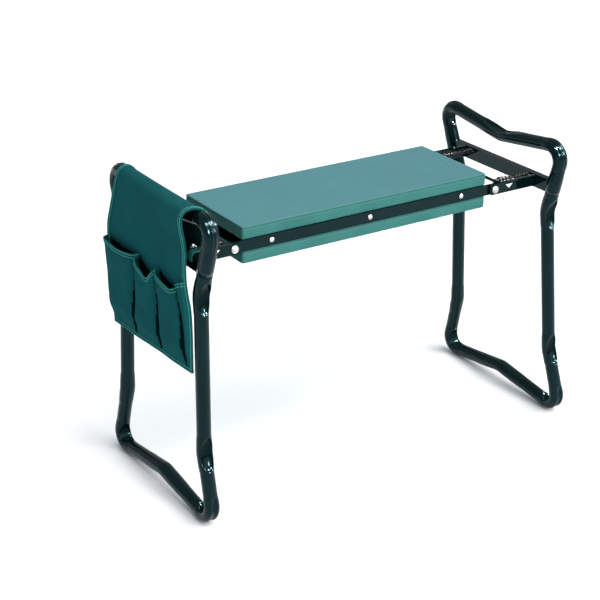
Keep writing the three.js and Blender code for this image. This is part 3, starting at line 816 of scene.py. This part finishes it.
# The lines of the pockets' bottom and mouths: (y, z)
BOTTOM = [(-101.5, 225.5), (0, 224.5), (99.5, 223.5)]
MOUTH = [(-101.5, 354), (-92, 350), (-85, 343), (-77, 337), (-63, 340), (-50, 343), (-41, 347),
         (-36, 351), (-31, 345), (-24, 335), (-13, 334), (-3, 340), (8, 347), (16, 353), (22, 352),
         (60, 351.5), (99.5, 354)]


def line_at(table, y):
    """The z at y on a smooth curve through a table of (y, z)."""
    ys = [a for a, _ in table]
    last = len(table) - 1
    k = min(max(int(np.searchsorted(ys, y)) - 1, 0), last - 1)
    slopes = [(table[min(i + 1, last)][1] - table[max(i - 1, 0)][1])
              / (ys[min(i + 1, last)] - ys[max(i - 1, 0)]) for i in (k, k + 1)]
    width = ys[k + 1] - ys[k]
    t = min(max((y - ys[k]) / width, 0.0), 1.0)
    return ((1 + 2 * t) * (1 - t) ** 2 * table[k][1] + t * (1 - t) ** 2 * width * slopes[0]
            + t * t * (3 - 2 * t) * table[k + 1][1] - t * t * (1 - t) * width * slopes[1])


def pocket_at(a):
    """Which pocket a place across the pockets is in, from 0 to 3, and how far across it."""
    a = min(max(a, 0.0), 4.0)
    k = min(int(a), 3)
    return k, a - k


def mouth_y(a):
    """The y of a place across the pockets, at their mouths."""
    k, u = pocket_at(a)
    return DIVIDERS[k][1] * (1 - u) + DIVIDERS[k + 1][1] * u


def pocket_height(a):
    """From the bottom of the pockets to their mouths."""
    return line_at(MOUTH, mouth_y(a)) - line_at(BOTTOM, mouth_y(a))


def pocket_point(a, down, creased=None):
    """A point of the pocket cloth: a from 0 to 4 across the pockets, down in mm below the mouth.

    A list given as creased gets True when the point lies deep in a crease, or else False.
    """
    k, u = pocket_at(a)
    y_top = mouth_y(a)
    z_bottom = line_at(BOTTOM, y_top)
    height = pocket_height(a)
    share = 1 - down / height
    low = DIVIDERS[k][0] * (1 - u) + DIVIDERS[k + 1][0] * u
    y = low + (y_top - low) * share
    z = z_bottom + height * share
    leaf = max(share, 0) / CREASE_AT * math.exp(1 - share / CREASE_AT)
    spread = DIVIDERS[k][0] - DIVIDERS[k + 1][0]
    left, right = SEAM + CREASE[k] * leaf, SEAM + CREASE[k + 1] * leaf
    full = min(max((u * spread - left) / (spread - left - right), 0), 1)
    steep = (1 - abs(2 * full - 1) ** 6) ** 0.5
    rise = ease(min(max(share / 0.3, 0), 1)) * (0.86 + 0.14 * share)
    broad = noise.noise(Vector((y / 17, z / 30, 11.0 + k))) * 1.5
    small = noise.noise(Vector((y / 8, z / 13, 4.0))) * 0.35
    out = STAND_OFF + (BULGE[k] + (broad + small) * rise) * steep * rise
    # Points deep in a crease are marked for painted shade
    if creased is not None:
        deep = 0.3 + (0.35 * min(leaf, 1) if u > 0.5 else 0)
        creased.append(steep < deep and 0.5 < a < 3.5)
    return np.array([outer_p(y, z) - out, y, z])


def cloth_piece(name, grid, rows, columns, material, thickness):
    piece = make_piece(name, place(grid, POUCH_MATRIX), grid_faces(rows, columns), material)
    thicken(piece, thickness)
    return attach(piece, "left_frame")


POUCH_MATRIX = plane_matrix("left", lowest("left"))
sheet_ys = np.linspace(NEAR_Y, FAR_Y, 72)
sheet_grid = [flap_point(r, y) for r in range(ROWS) for y in sheet_ys]
sheet = cloth_piece("pouch_cloth_sheet", sheet_grid, ROWS, len(sheet_ys), CANVAS, 1.4)
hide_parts("pouch_sheet")

# Places across the pockets, closer together near the dividers, and down them
pocket_as = [k + 0.5 - 0.5 * math.cos(math.pi * j / steps)
             for k, steps in enumerate((56, 56, 56, 30)) for j in range(steps)] + [4.0]
downs = np.linspace(0, 1, 90)
creased = []
pocket_grid = [pocket_point(a, share * pocket_height(a), creased) for share in downs for a in pocket_as]
pockets = cloth_piece("pouch_pocket_cloth", pocket_grid, len(downs), len(pocket_as), POCKET_CANVAS, 1.3)
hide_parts("pouch_pockets")
pockets.data.materials.append(SHADED)
# Faces deep in the creases take the canvas with painted deep shade
for polygon in pockets.data.polygons:
    if sum(creased[v] for v in polygon.vertices) >= 3:
        polygon.material_index = 1

# The sheet is shaded where it lines the pockets, and plain on its other side
sheet.data.materials.append(SHADED)
sheet.modifiers["thickness"].material_offset = -1
for polygon in sheet.data.polygons:
    row = min(v // len(sheet_ys) for v in polygon.vertices)
    y, z = np.mean([sheet_grid[v][1:] for v in polygon.vertices], axis=0)
    if row > CROWN + 10 and z < line_at(MOUTH, y) - 1.5 and NEAR_Y + 2 < y < FAR_Y - 2:
        polygon.material_index = 1


# Binding tape folded over the cloth's edges, sewn with two rows of stitches

TAPE_WIDTH = 6.0
STITCH_ROWS = (0.6, 5.0)  # in from the edge
STITCH_SPACING = 3.4
# One stitch: (distance along it, radius)
STITCH = [(-1.5, 0.05), (-1.2, 0.42), (0, 0.55), (1.2, 0.42), (1.5, 0.05)]


def normal_of(surface, s, d, ds, sign):
    """The normal of surface(s, d), turned by its sign. ds is the step in s that it is measured with."""
    a = surface(s + ds, d) - surface(s - ds, d)
    b = surface(s, d + 0.8) - surface(s, max(d - 0.8, 0.0))
    n = np.cross(a, b)
    return sign * n / max(np.linalg.norm(n), 1e-9)


def bind(surface, start, end, count, sign, half, ds):
    """Tape folded over an edge. surface(s, d) is the point at s along the edge and d mm in from it.

    half is half the thickness of what the tape binds.
    """
    section = [(TAPE_WIDTH, half), (TAPE_WIDTH - 0.1, half + 0.5), (4.4, half + 0.38), (3, half + 0.62),
               (1.6, half + 0.38), (0.3, half + 0.55), (-0.01, half * 0.6), (-0.01, -half * 0.6),
               (0.3, -half - 0.55), (1.6, -half - 0.4), (4.4, -half - 0.4), (TAPE_WIDTH, -half)]
    points = []
    for s in np.linspace(start, end, count):
        n = normal_of(surface, s, 3.0, ds, sign)
        edge = surface(s, 0.0)
        inward = surface(s, 1.0) - edge
        inward = inward / max(np.linalg.norm(inward), 1e-9)
        for d, height in section:
            base = surface(s, d) if d > 0 else edge - inward * 0.55
            points.append(base + n * height)
    return points, grid_faces(count, len(section))


def stitches(surface, start, end, sign, half, ds):
    """Two rows of small raised stitches along a bound edge."""
    parts = []
    for d in STITCH_ROWS:
        ss = np.linspace(start, end, 500)
        line = np.array([surface(s, d) for s in ss])
        run = run_along(line)
        count = int(run[-1] / STITCH_SPACING)
        for k in range(count):
            middle = (k + 0.5) * run[-1] / count
            ends = [np.interp(middle + o, run, ss) for o in (-1.4, 0, 1.4)]
            n = normal_of(surface, ends[1], d, ds, sign)
            a, b = surface(ends[0], d), surface(ends[2], d)
            ahead = (b - a) / max(np.linalg.norm(b - a), 1e-9)
            other = np.cross(ahead, n)
            centre = (a + b) / 2 + n * (half + 0.45)
            points = []
            for along, radius in STITCH:
                for j in range(6):
                    angle = math.pi / 3 * j
                    points.append(centre + ahead * along
                                  + (n * math.cos(angle) + other * math.sin(angle)) * radius)
            parts.append((points, grid_faces(len(STITCH), 6, closed=True)))
    return merge(parts)


NEAR_RUN = run_along(NEAR_LINE)


def row_after(distance):
    """The row of the sheet that lies a distance along its near edge from the back flap's end."""
    return float(np.interp(distance, NEAR_RUN, np.arange(ROWS)))


def near_edge(s, d):
    return flap_point(s, NEAR_Y + d)


def far_edge(s, d):
    return flap_point(s, FAR_Y - d)


def bottom_edge(s, d):
    return flap_point(row_after(NEAR_RUN[-1] - d), s)


def back_edge(s, d):
    return flap_point(row_after(d), s)


# Each bound edge: its surface, its start and end, how many points the tape has along it, a place
# where its normal is read and the way that faces along p, half the thickness of what it binds, and
# the step that normals are measured with
EDGES = [
    (near_edge, 0, ROWS - 1, 150, ROWS - 20, -1, 1.3, 0.5),
    (far_edge, 0, ROWS - 1, 150, ROWS - 20, -1, 1.3, 0.5),
    (bottom_edge, NEAR_Y, FAR_Y, 100, 0.0, -1, 1.6, 0.5),
    (back_edge, NEAR_Y, FAR_Y, 100, 0.0, 1, 0.9, 0.5),
    (pocket_point, 0.0, 4.0, 260, 0.5, -1, 0.75, 0.004),
]

tape_parts, stitch_parts = [], []
for surface, start, end, count, probe, faces_p, half, ds in EDGES:
    sign = math.copysign(1, normal_of(surface, probe, 3.0, ds, 1)[0] * faces_p)
    tape_parts.append(bind(surface, start, end, count, sign, half, ds))
    stitch_parts.append(stitches(surface, start, end, sign, half, ds))

points, faces = merge(tape_parts)
tape = make_piece("pouch_binding_tape", place(points, POUCH_MATRIX), faces, TAPE)
points, faces = merge(stitch_parts)
thread = make_piece("pouch_stitching", place(points, POUCH_MATRIX), faces, THREAD)
for piece in (tape, thread):
    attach(piece, "left_frame")


STRAP_WIDTH = 12
STRAP_Y = 89
# From the back flap, out over the channel and down its outer side: (p, z)
STRAP_LINE = smooth_line([(12.2, 404), (12.1, 397), (10.8, 392), (6.5, 389.4), (0, 388.8), (-4.8, 387.9),
                          (-7.2, 384.6), (-7.7, 380), (-7.4, 376)], 60)


def strap(end, y, node):
    """A tape that hooks over the channel."""
    columns = 9
    points = []
    for p, z in STRAP_LINE:
        for across in np.linspace(-STRAP_WIDTH / 2, STRAP_WIDTH / 2, columns):
            points.append((p + noise.noise(Vector((across / 6, z / 14, y))) * 0.3, y + across, z))
    piece = make_piece(f"pouch_strap_{end}_tape", place(points, POUCH_MATRIX),
                       grid_faces(len(STRAP_LINE), columns), STRAP_TAPE)
    thicken(piece, 1.1)
    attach(piece, "left_frame")
    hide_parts(node)


strap("front", -STRAP_Y, "pouch_strap_front")
strap("back", STRAP_Y, "pouch_strap_back")

pocket_width = length_of(np.array([pocket_point(a, 20.0) for a in np.linspace(0, 4, 400)]))


# ---- Floor, light and camera ----

bpy.ops.mesh.primitive_plane_add(size=30, location=(0, 0, -0.0005))
floor = bpy.context.object
floor.name = "floor"
stage_finish = Finish("floor", Roughness=0.85, Specular_IOR_Level=0.1)
stage_finish.shader.inputs["Base Color"].default_value = (0.96, 0.96, 0.96, 1)
floor.data.materials.append(stage_finish.material)

world = bpy.data.worlds.new("studio")
bpy.context.scene.world = world
world.use_nodes = True
sky = world.node_tree.nodes["Background"]
sky.inputs["Color"].default_value = (0.88, 0.95, 1.0, 1)
sky.inputs["Strength"].default_value = 0.5


def aimed(name, light, direction, location=(0, 0, 0)):
    """A lamp that shines along a direction."""
    lamp = bpy.data.objects.new(name, light)
    lamp.location = location
    lamp.rotation_mode = "QUATERNION"
    lamp.rotation_quaternion = Vector(direction).to_track_quat("-Z", "Y")
    bpy.context.scene.collection.objects.link(lamp)
    return lamp


sun = bpy.data.lights.new("sun", "SUN")
sun.energy = 4.1
sun.angle = math.radians(70)
aimed("sun", sun, (-0.3, 0.64, -0.72))

# Windows that show only as highlights on glossy surfaces
MIDDLE = Vector((-0.05, 0, 0.25))
for name, location, size, power in (("window_right", (1.45, -1.15, 2.6), (0.35, 0.8), 480),
                                    ("window_left", (-1.25, -0.95, 2.7), (0.25, 0.7), 320),
                                    ("window_front", (0.3, -2.6, 1.8), (0.25, 0.7), 280)):
    window = bpy.data.lights.new(name, "AREA")
    window.shape = "RECTANGLE"
    window.size, window.size_y = size
    window.energy = power
    window.color = (1.0, 0.86, 0.82)
    aimed(name, window, MIDDLE - Vector(location), location).visible_diffuse = False

AZIMUTH, ELEVATION, ROLL = (math.radians(a) for a in (-33.2924, 23.955, 0.5713))
TARGET = Vector((-0.0731, 0, 0.2348))
CAMERA_DISTANCE = 2.1798
FOCAL_LENGTH = 90.58
back = Vector((math.sin(AZIMUTH) * math.cos(ELEVATION), -math.cos(AZIMUTH) * math.cos(ELEVATION),
               math.sin(ELEVATION)))
right = Vector((math.cos(AZIMUTH), math.sin(AZIMUTH), 0))
up = back.cross(right)
rolled_right = right * math.cos(ROLL) + up * math.sin(ROLL)
rolled_up = up * math.cos(ROLL) - right * math.sin(ROLL)
camera = bpy.data.objects.new("camera", bpy.data.cameras.new("camera"))
camera.data.sensor_width = 36
camera.data.lens = FOCAL_LENGTH
camera.rotation_mode = "QUATERNION"
camera.rotation_quaternion = Matrix((rolled_right, rolled_up, back)).transposed().to_quaternion()
camera.location = TARGET + back * CAMERA_DISTANCE
bpy.context.scene.collection.objects.link(camera)
bpy.context.scene.camera = camera
bpy.context.scene.view_settings.view_transform = "Standard"
